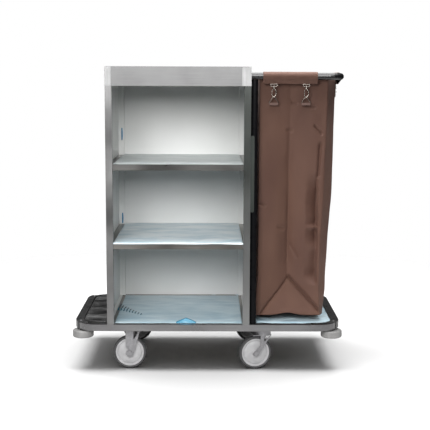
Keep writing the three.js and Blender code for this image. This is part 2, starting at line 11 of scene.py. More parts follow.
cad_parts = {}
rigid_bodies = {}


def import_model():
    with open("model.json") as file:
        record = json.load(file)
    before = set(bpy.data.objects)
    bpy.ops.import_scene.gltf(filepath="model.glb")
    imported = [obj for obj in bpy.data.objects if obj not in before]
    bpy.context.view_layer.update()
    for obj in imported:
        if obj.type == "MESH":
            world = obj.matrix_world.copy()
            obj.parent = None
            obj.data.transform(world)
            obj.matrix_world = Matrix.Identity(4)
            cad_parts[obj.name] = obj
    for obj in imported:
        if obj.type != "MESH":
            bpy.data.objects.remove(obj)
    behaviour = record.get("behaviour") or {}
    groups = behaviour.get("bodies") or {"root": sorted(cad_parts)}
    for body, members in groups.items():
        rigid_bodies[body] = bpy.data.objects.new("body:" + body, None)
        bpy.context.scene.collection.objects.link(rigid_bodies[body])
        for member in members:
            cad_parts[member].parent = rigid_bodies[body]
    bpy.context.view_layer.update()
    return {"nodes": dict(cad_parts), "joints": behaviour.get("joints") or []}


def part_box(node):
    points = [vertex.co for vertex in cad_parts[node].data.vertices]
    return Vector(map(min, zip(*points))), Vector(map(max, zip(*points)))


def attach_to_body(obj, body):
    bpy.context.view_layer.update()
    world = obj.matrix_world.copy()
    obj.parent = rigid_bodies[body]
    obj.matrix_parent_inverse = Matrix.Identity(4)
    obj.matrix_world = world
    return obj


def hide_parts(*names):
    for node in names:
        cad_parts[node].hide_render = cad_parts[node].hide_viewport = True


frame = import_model()

nodes = frame["nodes"]
joints = {joint["name"]: joint for joint in frame["joints"]}
ENDS = ("front", "rear")
CORNERS = ("front_left", "front_right", "rear_left", "rear_right")
SWIVELS = ("front_right", "rear_right")
CORNER_RADIUS = 0.085  # of the base loop's corners, outside
TURNS = {"front": 0.0, "rear": math.pi, "side": math.pi / 2}  # from X to the bar, at each sleeve

FLOOR_SIZE = 6.0  # half width of the floor
FLOOR_REACH = 2.7  # radius at which the floor has thinned out
CAMERA_DISTANCE = 3.55  # in front of the base
CAMERA_HEIGHT = 1.079
CAMERA_PITCH = 7.66  # degrees below level
CAMERA_YAW = -0.43
CAMERA_ROLL = 0.21
CAMERA_LENS = 80.87  # mm, over a sensor 36 mm wide

BAR_RADIUS = 0.0125
FABRIC = 0.0012  # thickness of the bag's cloth
FILM = 0.00012  # thickness of the protective film
LOOSE_FILM = 0.0003  # thickness of the film where it is doubled
FILM_GAP = 0.0005  # least height of the film over the steel


# ---------- camera, floor and light ----------

def add_camera():
    """Eye a little under the tray's rim, in front of the cart, looking slightly down."""
    data = bpy.data.cameras.new("camera")
    data.lens = CAMERA_LENS
    data.sensor_width = 36.0
    data.clip_end = 60.0
    camera = bpy.data.objects.new("camera", data)
    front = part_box("base_frame")[0].y
    eye = Matrix.Translation((0.0005, front - CAMERA_DISTANCE, CAMERA_HEIGHT))
    yaw = Matrix.Rotation(math.radians(CAMERA_YAW), 4, "Z")
    pitch = Matrix.Rotation(math.radians(90 - CAMERA_PITCH), 4, "X")
    roll = Matrix.Rotation(math.radians(CAMERA_ROLL), 4, "Z")
    camera.matrix_world = eye @ yaw @ pitch @ roll
    bpy.context.scene.collection.objects.link(camera)
    bpy.context.scene.camera = camera


def add_floor():
    """A white floor that thins out into the white backdrop a few metres from the cart."""
    mesh = bpy.data.meshes.new("floor")
    corners = [(x * FLOOR_SIZE, y * FLOOR_SIZE, 0) for x, y in ((-1, -1), (1, -1), (1, 1), (-1, 1))]
    mesh.from_pydata(corners, [], [(0, 1, 2, 3)])
    floor = bpy.data.objects.new("floor", mesh)
    bpy.context.scene.collection.objects.link(floor)
    mat, tree, shader = new_material("studio_floor", (0.9, 0.9, 0.9), 0.0, 0.8)
    shader.inputs["Specular IOR Level"].default_value = 0.1
    place = scaled_place(tree, (1 / FLOOR_REACH,) * 3)
    around = tree.nodes.new("ShaderNodeTexGradient")
    around.gradient_type = "SPHERICAL"
    tree.links.new(place, around.inputs["Vector"])
    fade = ramp(tree, around.outputs["Fac"], [(0.08, 0.0), (0.62, 1.0)])
    tree.links.new(fade, shader.inputs["Alpha"])
    mesh.materials.append(mat)
    return floor


def add_area_light(name, place, target, size, power):
    data = bpy.data.lights.new(name, "AREA")
    data.shape = "RECTANGLE"
    data.size, data.size_y = size
    data.energy = power
    lamp = bpy.data.objects.new(name, data)
    lamp.location = place
    lamp.rotation_euler = (Vector(target) - Vector(place)).to_track_quat("-Z", "Y").to_euler()
    bpy.context.scene.collection.objects.link(lamp)
    return lamp


def keep_off(lamp, objects):
    """The lamp doesn't light these objects."""
    unlit = bpy.data.collections.new(f"not lit by {lamp.name}")
    for obj in objects:
        unlit.objects.link(obj)
    for entry in unlit.collection_objects:
        entry.light_linking.link_state = "EXCLUDE"
    lamp.light_linking.receiver_collection = unlit


def add_light():
    """A dim studio, brighter overhead and to the left, with a soft key, a front fill and a top light."""
    world = bpy.data.worlds.new("studio")
    bpy.context.scene.world = world
    world.use_nodes = True
    tree = world.node_tree
    room = tree.nodes["Background"]
    split = axes(tree, "Generated")
    height = math_node(tree, "MULTIPLY_ADD", split["Z"], 0.5, 0.5)
    shades = [(0.0, 0.10), (0.46, 0.03), (0.56, 0.04), (0.72, 0.10), (0.84, 0.45), (1.0, 1.1)]
    across = math_node(tree, "MULTIPLY_ADD", split["X"], -0.35, 0.85)
    room_light = math_node(tree, "MULTIPLY", ramp(tree, height, shades), across)
    tree.links.new(room_light, room.inputs["Strength"])
    room.inputs["Color"].default_value = (1, 1, 1, 1)
    backdrop = tree.nodes.new("ShaderNodeBackground")  # only the camera sees it
    backdrop.inputs["Color"].default_value = (1, 1, 1, 1)
    path = tree.nodes.new("ShaderNodeLightPath")
    mix = tree.nodes.new("ShaderNodeMixShader")
    tree.links.new(path.outputs["Is Camera Ray"], mix.inputs["Fac"])
    tree.links.new(room.outputs[0], mix.inputs[1])
    tree.links.new(backdrop.outputs[0], mix.inputs[2])
    tree.links.new(mix.outputs[0], tree.nodes["World Output"].inputs["Surface"])
    key = add_area_light("key", (-1.7, -3.8, 2.5), (0, 0, 0.7), (1.9, 1.7), 92)
    fill = add_area_light("fill", (0.2, -4.4, 2.3), (0, 0, 0.6), (3.2, 1.9), 195)
    add_area_light("top", (0.0, 0.0, 3.4), (0, 0, 0), (3.4, 2.6), 185)
    bpy.context.scene.view_settings.view_transform = "Standard"
    return key, fill


# ---------- material helpers ----------

def new_material(name, colour, metallic, roughness):
    mat = bpy.data.materials.new(name)
    mat.use_nodes = True
    shader = mat.node_tree.nodes["Principled BSDF"]
    shader.inputs["Base Color"].default_value = (*colour, 1)
    shader.inputs["Metallic"].default_value = metallic
    shader.inputs["Roughness"].default_value = roughness
    return mat, mat.node_tree, shader


def scaled_place(tree, scale):
    """The place being shaded, in object space, scaled along each axis."""
    place = tree.nodes.new("ShaderNodeTexCoord")
    mapping = tree.nodes.new("ShaderNodeMapping")
    mapping.inputs["Scale"].default_value = scale
    tree.links.new(place.outputs["Object"], mapping.inputs["Vector"])
    return mapping.outputs["Vector"]


def axes(tree, space="Object"):
    """The place being shaded, as separate X, Y and Z."""
    place = tree.nodes.new("ShaderNodeTexCoord")
    split = tree.nodes.new("ShaderNodeSeparateXYZ")
    tree.links.new(place.outputs[space], split.inputs["Vector"])
    return split.outputs


def noise_field(tree, scale, detail=3.0, stretch=(1, 1, 1)):
    """Noise in object space: scale is in cycles a metre before the stretch along each axis."""
    place = scaled_place(tree, stretch)
    field = tree.nodes.new("ShaderNodeTexNoise")
    field.inputs["Scale"].default_value = scale
    field.inputs["Detail"].default_value = detail
    tree.links.new(place, field.inputs["Vector"])
    return field.outputs["Fac"]


def ramp(tree, value, stops):
    """A colour ramp with stops of (position, grey or colour)."""
    node = tree.nodes.new("ShaderNodeValToRGB")
    elements = node.color_ramp.elements
    while len(elements) < len(stops):
        elements.new(0.5)
    for element, (position, colour) in zip(elements, stops):
        rgb = (colour,) * 3 if isinstance(colour, (int, float)) else colour
        element.position = position
        element.color = (*rgb, 1)
    tree.links.new(value, node.inputs["Fac"])
    return node.outputs["Color"]


def add_bump(tree, shader, height, distance, strength=1.0):
    """Bump of a real height in metres, on top of any bump that the shader already has."""
    bump = tree.nodes.new("ShaderNodeBump")
    bump.inputs["Distance"].default_value = distance
    bump.inputs["Strength"].default_value = strength
    normal = shader.inputs["Normal"]
    if normal.is_linked:
        tree.links.new(normal.links[0].from_socket, bump.inputs["Normal"])
    tree.links.new(height, bump.inputs["Height"])
    tree.links.new(bump.outputs["Normal"], normal)


def mixed(tree, factor, first, second, blend="MIX"):
    """A colour mix whose factor and sides are sockets or plain values."""
    node = tree.nodes.new("ShaderNodeMix")
    node.data_type = "RGBA"
    node.blend_type = blend
    for key, value in (("Factor", factor), ("A", first), ("B", second)):
        socket = next(s for s in node.inputs if s.name == key and s.enabled)
        if isinstance(value, bpy.types.NodeSocket):
            tree.links.new(value, socket)
        elif isinstance(value, tuple):
            socket.default_value = (*value, 1)
        else:
            socket.default_value = value
    return next(s for s in node.outputs if s.enabled)


def tone(tree, shader, field, dark, light, low=0.35, high=0.65):
    """Base colour between two tones, driven by a noise field."""
    tree.links.new(ramp(tree, field, [(low, dark), (high, light)]), shader.inputs["Base Color"])


def gloss_range(tree, shader, field, smooth, rough, low=0.3, high=0.7):
    """Roughness between two values, driven by a noise field."""
    tree.links.new(ramp(tree, field, [(low, smooth), (high, rough)]), shader.inputs["Roughness"])


# ---------- materials ----------

def steel(name, dark, light, roughness, grain, metallic=1.0, patch=5.0):
    """Brushed stainless: fine lines along the grain, faint cloudy patches and uneven polish."""
    mat, tree, shader = new_material(name, light, metallic, roughness)
    across = {"x": (6, 900, 900), "y": (900, 6, 900), "z": (900, 900, 6)}[grain]
    lines = noise_field(tree, 1.0, 2.0, across)
    clouds = noise_field(tree, patch, 3.0)
    lined = ramp(tree, lines, [(0.3, dark), (0.7, light)])
    patches = ramp(tree, clouds, [(0.35, dark), (0.65, light)])
    tree.links.new(mixed(tree, 0.55, lined, patches), shader.inputs["Base Color"])
    gloss_range(tree, shader, clouds, roughness - 0.06, roughness + 0.08)
    add_bump(tree, shader, lines, 0.00002)
    return mat


def paint_foot_reflection(mat, light, low, high):
    """Paints a reflection into the finish: a lighter tone below a height, standing in for the floor that an
    upright mirrors near its foot.
    """
    tree = mat.node_tree
    shader = tree.nodes["Principled BSDF"]
    upper = shader.inputs["Base Color"].links[0].from_socket
    lower = ramp(tree, axes(tree)["Z"], [(low, 1.0), (high, 0.0)])
    tree.links.new(mixed(tree, lower, upper, light), shader.inputs["Base Color"])


def filmed_white():
    """Steel under milky protective film: dull, pale, with soft uneven contact."""
    mat, tree, shader = new_material("white_film_on_steel", (0.78, 0.80, 0.79), 0.1, 0.45)
    clouds = noise_field(tree, 3.0, 3.0)
    tone(tree, shader, clouds, (0.69, 0.698, 0.682), (0.76, 0.76, 0.752), 0.3, 0.7)
    creases = noise_field(tree, 26.0, 4.0, (1, 1, 0.35))
    add_bump(tree, shader, creases, 0.0006)
    return mat


def thin_film(name, pale, deep, alpha, roughness=0.22):
    """Thin plastic film over the steel: glossy, deeper in colour where it gathers."""
    mat, tree, shader = new_material(name, pale, 0.0, roughness)
    shader.inputs["Alpha"].default_value = alpha
    gather = noise_field(tree, 9.0, 4.0, (1, 2.2, 1))
    tone(tree, shader, gather, pale, deep, 0.38, 0.72)
    fine = noise_field(tree, 60.0, 3.0, (1, 2.5, 1))
    add_bump(tree, shader, fine, 0.0008)
    return mat


def black_gloss(name, ior):
    """Black powder coat over tube: glossy, with slight orange peel."""
    mat, tree, shader = new_material(name, (0.004, 0.004, 0.0045), 0.0, 0.2)
    shader.inputs["IOR"].default_value = ior
    gloss_range(tree, shader, noise_field(tree, 40.0, 3.0), 0.24, 0.36)
    add_bump(tree, shader, noise_field(tree, 500.0, 1.0), 0.000008)
    return mat


def black_rubber(name, roughness):
    """Black rubber with long scuffs and a fine pebble."""
    mat, tree, shader = new_material(name, (0.016, 0.016, 0.017), 0.0, roughness)
    scuffs = noise_field(tree, 30.0, 5.0, (1, 3, 3))
    tone(tree, shader, scuffs, 0.012, 0.03, 0.35, 0.75)
    gloss_range(tree, shader, scuffs, roughness - 0.12, roughness + 0.1)
    add_bump(tree, shader, noise_field(tree, 1200.0, 2.0), 0.00006)
    return mat


def zinc(name="zinc_plate"):
    """Pressed steel with dull bright zinc: fine spangle and handling marks."""
    mat, tree, shader = new_material(name, (0.50, 0.49, 0.52), 0.85, 0.42)
    spangle = noise_field(tree, 160.0, 3.0)
    tone(tree, shader, spangle, (0.235, 0.232, 0.24), (0.285, 0.282, 0.29))
    gloss_range(tree, shader, spangle, 0.34, 0.5)
    add_bump(tree, shader, spangle, 0.00003)
    return mat


def moulded(name, dark, light, roughness, grain=900.0):
    """Moulded plastic or soft rubber: even colour with faint mottling and a matt mould grain."""
    mat, tree, shader = new_material(name, light, 0.0, roughness)
    mottle = noise_field(tree, 35.0, 4.0)
    tone(tree, shader, mottle, dark, light)
    gloss_range(tree, shader, mottle, roughness - 0.07, roughness + 0.07)
    add_bump(tree, shader, noise_field(tree, grain, 2.0), 0.00005)
    return mat


def woven_fabric():
    """Brown coated polyester: a 0.9 mm plain weave, soft sheen, and slow shifts of colour."""
    mat, tree, shader = new_material("brown_weave", (0.19, 0.10, 0.08), 0.0, 0.7)
    shader.inputs["Sheen Weight"].default_value = 0.08
    shader.inputs["Sheen Roughness"].default_value = 0.4
    thread_pitch = 0.0009
    turn_rate = math.pi / thread_pitch
    split = axes(tree)
    along = math_node(tree, "ADD", split["X"], split["Y"])
    warp = math_node(tree, "SINE", math_node(tree, "MULTIPLY", along, turn_rate))
    weft = math_node(tree, "SINE", math_node(tree, "MULTIPLY", split["Z"], turn_rate))
    weave = math_node(tree, "MULTIPLY", warp, weft)
    slow = noise_field(tree, 6.0, 3.0, (1, 1, 0.4))
    colour = ramp(tree, slow, [(0.3, (0.148, 0.067, 0.047)), (0.7, (0.222, 0.114, 0.078))])
    thread = ramp(tree, weave, [(0.0, 0.80), (1.0, 1.0)])
    tree.links.new(mixed(tree, 1.0, colour, thread, "MULTIPLY"), shader.inputs["Base Color"])
    gloss_range(tree, shader, slow, 0.6, 0.78)
    add_bump(tree, shader, weave, 0.00012)
    add_bump(tree, shader, noise_field(tree, 22.0, 4.0, (1, 1, 0.3)), 0.0022)
    return mat


def math_node(tree, operation, *values):
    """A math node's result, from sockets or plain values."""
    node = tree.nodes.new("ShaderNodeMath")
    node.operation = operation
    for socket, value in zip(node.inputs, values):
        if isinstance(value, bpy.types.NodeSocket):
            tree.links.new(value, socket)
        else:
            socket.default_value = value
    return node.outputs[0]


def nickel():
    """Worn nickel plate on the hooks and rings."""
    mat, tree, shader = new_material("nickel_plate", (0.27, 0.24, 0.215), 1.0, 0.3)
    wear = noise_field(tree, 300.0, 3.0)
    gloss_range(tree, shader, wear, 0.15, 0.32)
    add_bump(tree, shader, wear, 0.00002)
    return mat


# ---------- mesh helpers ----------

def add_mesh(name, verts, faces, mat, smooth=True):
    mesh = bpy.data.meshes.new(name)
    mesh.from_pydata([tuple(v) for v in verts], [], faces)
    mesh.materials.append(mat)
    mesh.validate()
    obj = bpy.data.objects.new(name, mesh)
    bpy.context.scene.collection.objects.link(obj)
    set_smooth(obj, smooth)
    return obj


def set_smooth(obj, smooth=True):
    for polygon in obj.data.polygons:
        polygon.use_smooth = smooth


def attach(obj, body, replaced=()):
    """Makes a piece ride with a body and the CAD nodes that it stands for."""
    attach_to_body(obj, body)
    if replaced:
        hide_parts(*replaced)


def solidify(obj, thickness, offset=0.0):
    modifier = obj.modifiers.new("thickness", "SOLIDIFY")
    modifier.thickness = thickness
    modifier.offset = offset


def soften(obj, width):
    modifier = obj.modifiers.new("edges", "BEVEL")
    modifier.width = width
    modifier.segments = 2
    modifier.limit_method = "ANGLE"
    modifier.angle_limit = math.radians(30)
    modifier.harden_normals = False


def subdivide(obj):
    modifier = obj.modifiers.new("surface", "SUBSURF")
    modifier.levels = modifier.render_levels = 1


def turned(name, profile, centre, axis, mat, sides):
    """A closed profile of (radius, height) points turned about an axis through centre."""
    to_axis = Vector((0, 0, 1)).rotation_difference(Vector(axis)).to_matrix()
    verts = []
    for i in range(sides):
        angle = math.tau * i / sides
        for radius, height in profile:
            local = Vector((radius * math.cos(angle), radius * math.sin(angle), height))
            verts.append(Vector(centre) + to_axis @ local)
    count = len(profile)
    faces = []
    for i in range(sides):
        for j in range(count):
            a, b = i * count + j, i * count + (j + 1) % count
            c, d = (i + 1) % sides * count + (j + 1) % count, (i + 1) % sides * count + j
            faces.append((a, d, c, b))
    return add_mesh(name, verts, faces, mat)


def rounded(points, radius, steps=3):
    """A closed outline, flat or in space, with each corner cut to a short arc of about that radius."""
    outline = []
    count = len(points)
    for i, corner in enumerate(points):
        here = Vector(corner)
        before = Vector(points[i - 1]) - here
        after = Vector(points[(i + 1) % count]) - here
        reach = min(radius, before.length * 0.45, after.length * 0.45)
        start, end = here + before.normalized() * reach, here + after.normalized() * reach
        for k in range(steps + 1):
            t = k / steps
            outline.append(tuple((1 - t) ** 2 * start + 2 * t * (1 - t) * here + t * t * end))
    return outline


def wire(name, path, radius, mat, closed=False, sides=10):
    """A round wire along a path of points, with closed ends or joined into a ring."""
    points = [Vector(p) for p in path]
    count = len(points)
    verts, faces = [], []
    side = None
    for i, point in enumerate(points):
        before = points[i - 1] if closed or i else point
        after = points[(i + 1) % count] if closed or i < count - 1 else point
        tangent = (after - before).normalized()
        if side is None:
            side = tangent.orthogonal().normalized()
        side = (side - tangent * side.dot(tangent)).normalized()
        other = tangent.cross(side)
        for k in range(sides):
            angle = math.tau * k / sides
            verts.append(point + radius * (math.cos(angle) * side + math.sin(angle) * other))
    for i in range(count if closed else count - 1):
        for k in range(sides):
            a, b = i * sides + k, i * sides + (k + 1) % sides
            c, d = (i + 1) % count * sides + (k + 1) % sides, (i + 1) % count * sides + k
            faces.append((a, b, c, d))
    if not closed:
        faces.append(tuple(reversed(range(sides))))
        faces.append(tuple(range((count - 1) * sides, count * sides)))
    return add_mesh(name, verts, faces, mat)


def prism(name, outline, low, high, axis, mat, edge):
    """A flat outline given thickness along an axis, with softened edges."""
    order = {"x": (2, 0, 1), "y": (0, 2, 1), "z": (0, 1, 2)}[axis]
    verts = []
    for level in (low, high):
        for u, v in outline:
            flat = (u, v, level)
            verts.append(tuple(flat[i] for i in order))
    count = len(outline)
    faces = [tuple(reversed(range(count))), tuple(range(count, 2 * count))]
    faces += [(i, (i + 1) % count, count + (i + 1) % count, count + i) for i in range(count)]
    obj = add_mesh(name, verts, faces, mat, smooth=False)
    fix_normals(obj)
    soften(obj, edge)
    return obj


def grid_faces(columns, rows):
    """Faces of a grid of vertices laid out row by row, with that many steps each way."""
    row = columns + 1
    starts = [j * row + i for j in range(rows) for i in range(columns)]
    return [(a, a + 1, a + 1 + row, a + row) for a in starts]


def band_faces(steps, count):
    """Faces of a strip whose vertices are laid out across it, count at a time, for each step along."""
    starts = [i * count + k for i in range(steps) for k in range(count - 1)]
    return [(a, a + count, a + count + 1, a + 1) for a in starts]


def fix_normals(obj):
    work = bmesh.new()
    work.from_mesh(obj.data)
    bmesh.ops.recalc_face_normals(work, faces=work.faces)
    work.to_mesh(obj.data)
    work.free()


def joined(name, objects):
    """Several objects made into one piece."""
    for obj in bpy.context.selected_objects:
        obj.select_set(False)
    for obj in objects:
        obj.select_set(True)
    for obj in objects:
        bpy.context.view_layer.objects.active = obj
        for modifier in list(obj.modifiers):
            bpy.ops.object.modifier_apply(modifier=modifier.name)
    bpy.context.view_layer.objects.active = objects[0]
    bpy.ops.object.join()
    objects[0].name = name
    objects[0].data.name = name
    return objects[0]


def lerp(a, b, t):
    return a + (b - a) * t


def smoothstep(low, high, value):
    t = min(max((value - low) / (high - low), 0.0), 1.0)
    return t * t * (3 - 2 * t)


# ---------- steelwork: CAD nodes with their finishes ----------

def dress(node, mat, edge=0.0):
    """Gives a CAD node its finish, with its edges softened by that width."""
    obj = nodes[node]
    obj.data.materials.clear()
    obj.data.materials.append(mat)
    if edge:
        soften(obj, edge)


def dress_steelwork():
    post_steel = steel("post_steel", (0.14,) * 3, (0.265, 0.262, 0.26), 0.34, "z")
    # painted shade: the right front post takes a darker copy of the post steel, with a painted floor
    # reflection at its foot
    shaded_steel = steel("shaded_post_steel", (0.024, 0.026, 0.024), (0.056, 0.060, 0.057), 0.36, "z")
    paint_foot_reflection(shaded_steel, (0.21, 0.212, 0.21), 0.35, 0.75)
    frame_steel = steel("frame_steel", (0.135, 0.133, 0.135), (0.25, 0.247, 0.25), 0.28, "x")
    tray_steel = steel("tray_steel", (0.110,) * 3, (0.180,) * 3, 0.40, "x", 0.6, 7.0)
    shelf_steel = steel("shelf_steel", (0.16, 0.152, 0.14), (0.27, 0.257, 0.235), 0.32, "x")
    panel_film = filmed_white()
    for corner in CORNERS:
        # painted light: the rear posts wear the pale film finish, lifting the shade of the cabinet's back
        # corners
        finish = panel_film if "rear" in corner else shaded_steel if "right" in corner else post_steel
        dress(f"post_{corner}", finish, 0.0018)
    dress("base_frame", frame_steel, 0.002)
    for side in ("left", "right"):
        dress(f"castor_channel_{side}", frame_steel)
        dress(f"side_panel_{side}", panel_film)
        dress(f"{side}_platform_panel", shelf_steel)
    dress("back_panel", panel_film)
    dress("deck_panel", shelf_steel)
    # painted shade: the upper shelf takes a darker copy of the shelf steel, for the shade under the tray
    shaded_shelf = steel("shaded_shelf_steel", (0.08, 0.079, 0.076), (0.15, 0.148, 0.142), 0.32, "x")
    dress("shelf_upper", shaded_shelf, 0.0004)
    dress("shelf_lower", shelf_steel, 0.0004)
    dress("top_tray", tray_steel, 0.0005)


def dress_black_parts():
    gloss = black_gloss("black_powder_coat", 1.6)
    satin = black_gloss("black_satin_coat", 1.15)
    rubber = black_rubber("bumper_rubber", 0.35)
    dress("bail_tube", gloss)
    for end in ENDS:
        dress(f"bag_frame_leg_{end}", satin)
    for corner in CORNERS:
        dress(f"roller_bracket_{corner}", satin)
    for side in ("left", "right"):
        dress(f"bumper_strip_{side}", rubber, 0.0012)
    dress("left_platform_mat", black_rubber("mat_rubber", 0.35), 0.001)
    for node in ("bail_tube", "bag_frame_leg_front", "bag_frame_leg_rear"):
        set_smooth(nodes[node])


def dress_castor_metal():
    plate = zinc()
    # painted shade: the tie plate's steel is toned near black, for the shade between the post and the bag
    dress("leg_tie_plate", steel("tie_plate_painted_shade_steel", (0.022, 0.025, 0.023), (0.045, 0.05, 0.046), 0.45, "z"))
    for corner in CORNERS:
        dress(f"castor_fork_{corner}", plate, 0.0006)
        dress(f"axle_bolt_{corner}", plate, 0.0005)
    for corner in SWIVELS:
        dress(f"castor_plate_{corner}", plate, 0.0005)


# ---------- wheels and rollers ----------

def add_wheel(corner, hub_mat, tyre_mat):
    """Tyre with soft shoulders, and a dished hub with a ring groove."""
    joint = joints[f"wheel_spin_{corner}"]
    centre, axis = joint["pos_m"], joint["axis"]
    low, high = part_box(f"tyre_{corner}")
    radius = (high.z - low.z) / 2
    half, seat = 0.015, 0.0543  # half the tread's width, and the radius at which the tyre sits on the hub
    tyre_outline = [
        (seat, -half + 0.002), (radius - 0.004, -half), (radius, -half + 0.006),
        (radius, half - 0.006), (radius - 0.004, half), (seat, half - 0.002),
    ]
    tyre = rounded(tyre_outline, 0.0035)
    tyre_piece = turned(f"tyre_tread_{corner}", tyre, centre, axis, tyre_mat, 96)
    attach(tyre_piece, f"wheel_{corner}", [f"tyre_{corner}"])

    face = [
        (0.0062, half + 0.003), (0.0125, half + 0.003), (0.0145, half - 0.004),
        (0.0300, half - 0.0035), (0.0430, half - 0.0045), (0.0440, half - 0.0068),
        (0.0462, half - 0.0068), (0.0472, half - 0.0042), (0.0540, half - 0.0030),
    ]
    hub = [(r, -h) for r, h in face] + face[::-1]
    hub_piece = turned(f"hub_disc_{corner}", rounded(hub, 0.0008, 2), centre, axis, hub_mat, 96)
    attach(hub_piece, f"wheel_{corner}", [f"wheel_hub_{corner}"])


def add_roller(corner, mat):
    """A soft-edged roller with shallow dished faces."""
    x, y, _ = joints[f"roller_spin_{corner}"]["pos_m"]
    low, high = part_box(f"bumper_roller_{corner}")
    radius = (high.x - low.x) / 2
    bore, dish = 0.0052, 0.0015
    lower = [
        (bore, low.z + dish), (0.012, low.z + dish), (0.014, low.z + 0.0005),
        (radius - 0.003, low.z), (radius, low.z + 0.004),
    ]
    upper = [
        (radius, high.z - 0.004), (radius - 0.003, high.z),
        (0.014, high.z - 0.0005), (0.012, high.z - dish), (bore, high.z - dish),
    ]
    profile = rounded(lower + upper, 0.002)
    piece = turned(f"roller_tyre_{corner}", profile, (x, y, 0), (0, 0, 1), mat, 80)
    attach(piece, f"roller_{corner}", [f"bumper_roller_{corner}"])


def add_running_gear():
    hub_mat = moulded("hub_plastic", (0.30, 0.298, 0.303), (0.36, 0.357, 0.363), 0.5)
    tyre_mat = moulded("tyre_rubber", (0.032, 0.032, 0.033), (0.052, 0.051, 0.053), 0.6)
    roller_mat = moulded("roller_rubber", (0.165, 0.163, 0.16), (0.215, 0.212, 0.208), 0.55)
    for corner in CORNERS:
        add_wheel(corner, hub_mat, tyre_mat)
        add_roller(corner, roller_mat)


# ---------- laundry bag ----------

BAG_TOP, BAG_FOOT = 1.104, 0.209
CREASE_X, APEX_Z = 0.305, 0.340  # the centre crease, and the point of the folded triangle under it
FOLD_DEPTH = 0.050  # how far the crease is drawn in
TRIANGLE_LEFT, TRIANGLE_RIGHT = 0.203, 0.428  # ends of the triangle's foot
HALF_TOP, HALF_FOOT = 0.235, 0.214  # half depth of the bag at the top and at the foot
CUT_TOP, CUT_FOOT = 0.062, 0.030  # how far the right corners are cut off, at the top and at the foot
OUTLINE_STEPS = (96, 8, 40, 8, 60, 44)  # points along each side of the outline, from the front round
FRONT_FACE, RIGHT_FACE, REAR_FACE = 0, 2, 4  # places in that list
BAG_ROWS = 210
FOOT_ROWS = 6  # the lift of the foot's edge fades out over these rows
BASE_RINGS = 10
BASE_SAG = 0.004
# (height, left edge, right end of the front face, right side) from the top down
BAG_EDGES = (
    (1.10, 0.191, 0.442, 0.477),
    (0.645, 0.190, 0.430, 0.466),
    (0.350, 0.190, 0.421, 0.450),
    (0.304, 0.187, 0.419, 0.448),
    (0.209, 0.172, 0.428, 0.439),
)


def bag_edges(z):
    """Left edge, right end of the front face and right side of the bag at a height."""
    for upper, lower in zip(BAG_EDGES, BAG_EDGES[1:]):
        if z >= lower[0]:
            t = min(max((z - lower[0]) / (upper[0] - lower[0]), 0), 1)
            return [lerp(low, high, t) for low, high in zip(lower[1:], upper[1:])]
    return list(BAG_EDGES[-1][1:])


def gusset(x, z, left, right):
    """How far a face is drawn in: a centre crease that ends at the point of a folded triangle."""
    blend = smoothstep(APEX_Z, APEX_Z + 0.10, z)
    start, end = lerp(TRIANGLE_LEFT, left, blend), lerp(TRIANGLE_RIGHT, right, blend)
    half = (CREASE_X - start) if x < CREASE_X else (end - CREASE_X)
    across = max(0.0, 1 - abs(x - CREASE_X) / half)
    depth = FOLD_DEPTH * (0.12 + 0.88 * smoothstep(1.02, 0.40, z))
    if z >= APEX_Z:
        return depth * across ** lerp(1.0, 2.6, smoothstep(APEX_Z, APEX_Z + 0.22, z))
    up = (z - BAG_FOOT) / (APEX_Z - BAG_FOOT)
    return depth * min(across, up)


def bell(value, centre, width):
    """A smooth bump of height 1 about a centre."""
    return math.exp(-(((value - centre) / width) ** 2))


def groove(x, z, start, end, width, depth):
    """A soft groove along a line in the face, as a depth at a point."""
    line = Vector(end) - Vector(start)
    along = min(max((Vector((x, z)) - Vector(start)).dot(line) / line.length_squared, 0.0), 1.0)
    gap = (Vector((x, z)) - Vector(start) - along * line).length
    return depth * bell(gap, 0, width)


# (start, end, width, depth) of the creases pressed into the front face
FRONT_CREASES = (
    ((0.310, 0.348), (0.430, 0.222), 0.0060, 0.0150),
    ((0.301, 0.337), (0.205, 0.217), 0.0040, 0.0080),
    ((0.314, 1.018), (0.328, 1.015), 0.0060, 0.0055),
    ((0.298, 0.914), (0.310, 0.913), 0.0060, 0.0050),
    ((0.396, 0.930), (0.421, 0.902), 0.0045, 0.0080),
    ((0.419, 0.860), (0.413, 0.745), 0.0060, 0.0100),
    ((0.194, 0.640), (0.214, 0.632), 0.0050, 0.0055),
    ((0.355, 1.008), (0.395, 0.998), 0.0045, 0.0050),
    ((0.312, 0.480), (0.340, 0.430), 0.0045, 0.0035),
    ((0.268, 0.548), (0.288, 0.541), 0.0060, 0.0060),
    ((0.3035, 0.900), (0.3045, 0.420), 0.0090, 0.0028),
)


def slack_fold(x, z):
    """A fold beside the right corner: it runs in gently from the left and comes back out steeply."""
    wander = 0.007 * noise.noise(Vector((1.0, 4.0, z * 13))) + 0.003 * noise.noise(Vector((2.0, 1.0, z * 40)))
    inner, outer = 0.366 + 1.3 * wander, 0.408 + 0.5 * wander
    reach = smoothstep(0.760, 0.680, z) * smoothstep(0.322, 0.370, z)
    pinch = 1 - 0.70 * bell(z, 0.548, 0.008) - 0.45 * bell(z, 0.470, 0.026)
    swell = 0.9 + 0.6 * noise.noise(Vector((5.0, 3.0, z * 8)))
    ramp_in = min(max((x - inner) / (outer - inner), 0.0), 1.0)
    back = smoothstep(outer + 0.009, outer, x)
    return 0.0330 * ramp_in ** 1.1 * back * reach * pinch * swell


